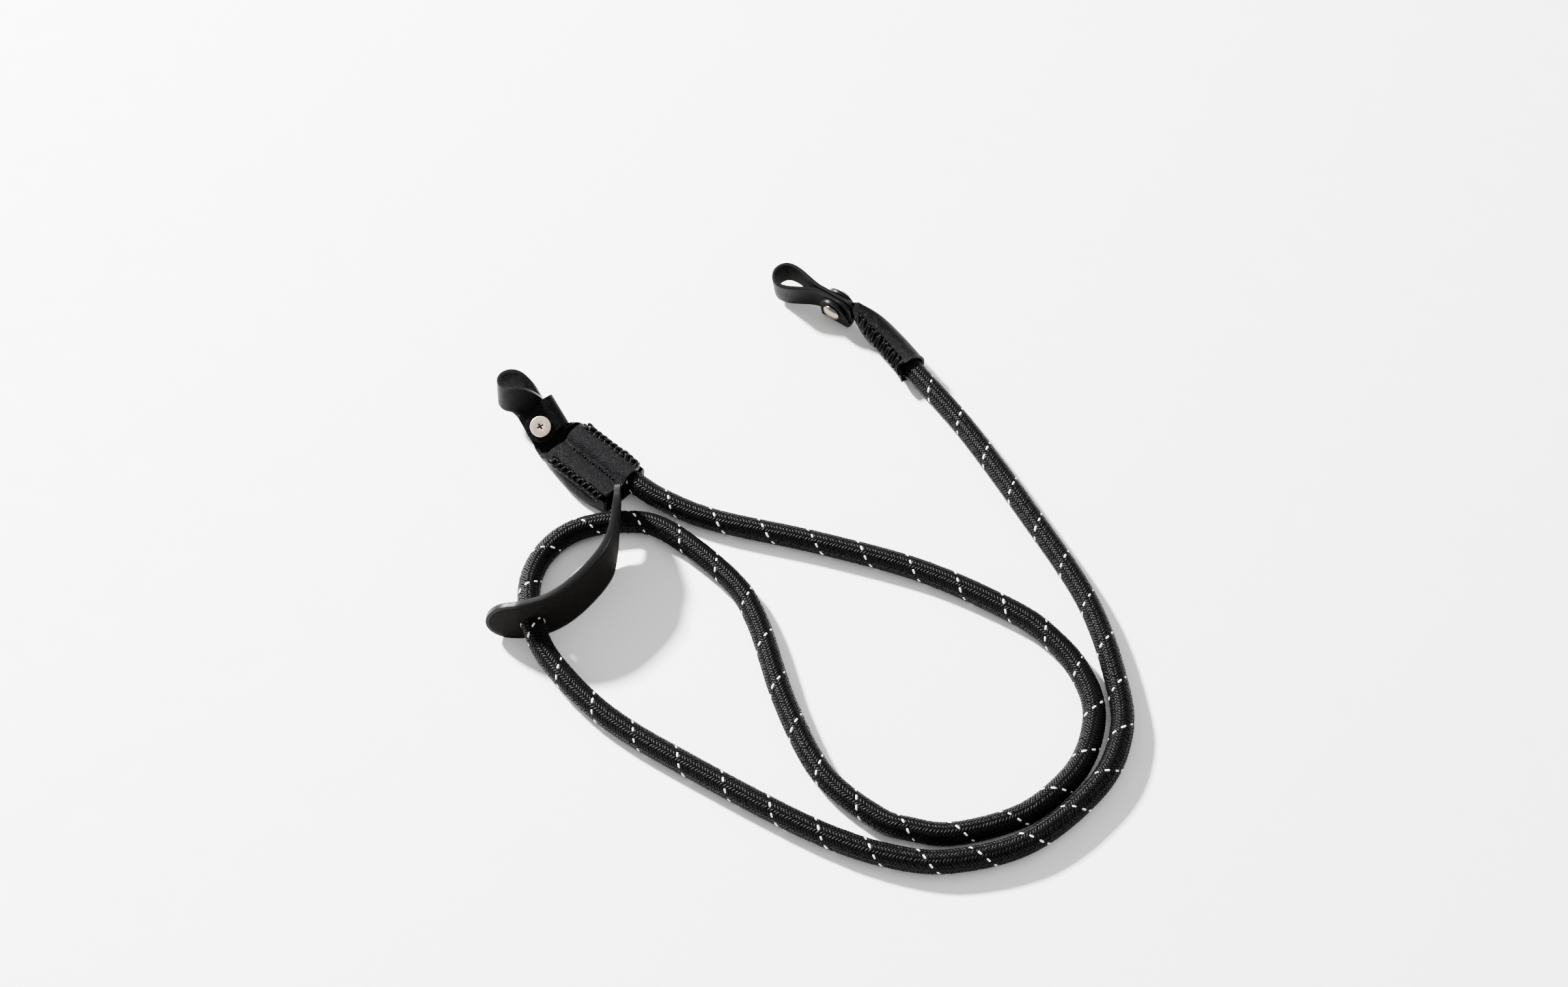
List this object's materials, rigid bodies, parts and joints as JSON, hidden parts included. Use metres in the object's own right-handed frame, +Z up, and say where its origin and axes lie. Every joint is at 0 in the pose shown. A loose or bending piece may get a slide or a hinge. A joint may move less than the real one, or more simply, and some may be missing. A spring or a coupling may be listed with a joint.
{
  "type": "braided camera strap",
  "caption": "Braided rope strap with a stitched leather pouch and a leather sleeve at its ends, each with a screw-clamped lug loop, and a leather adjuster tab that slides on the rope.",
  "frame": {"origin": "centre of the two leather fittings' footprint, on the surface that the strap lies on", "axes": "+Z up from the surface; +Y from the pouch fitting's adjuster tab towards the far sleeve's side, away from the viewer; +X to the viewer's right"},
  "size_m": [0.2335, 0.269, 0.0245],
  "materials": {
    "braid": "tightly braided synthetic rope, near black with white tracer flecks",
    "grain_leather": "matte black grain leather with waxed edges",
    "suede": "black leather strip, flesh side nappy, edges waxed",
    "satin_nickel": "satin nickel plated flat screw head",
    "polished_nickel": "polished nickel plated domed post"
  },
  "bodies": {
    "root": {"rope": "braid", "pouch_back": "grain_leather", "pouch_front": "grain_leather", "adjuster_tab": "suede", "pouch_keeper": "grain_leather", "pouch_screw": "satin_nickel", "pouch_post": "polished_nickel", "rope_sleeve": "grain_leather", "sleeve_strap": "grain_leather", "sleeve_keeper": "grain_leather", "sleeve_screw": "satin_nickel", "sleeve_post": "polished_nickel"}
  },
  "joints": []
}
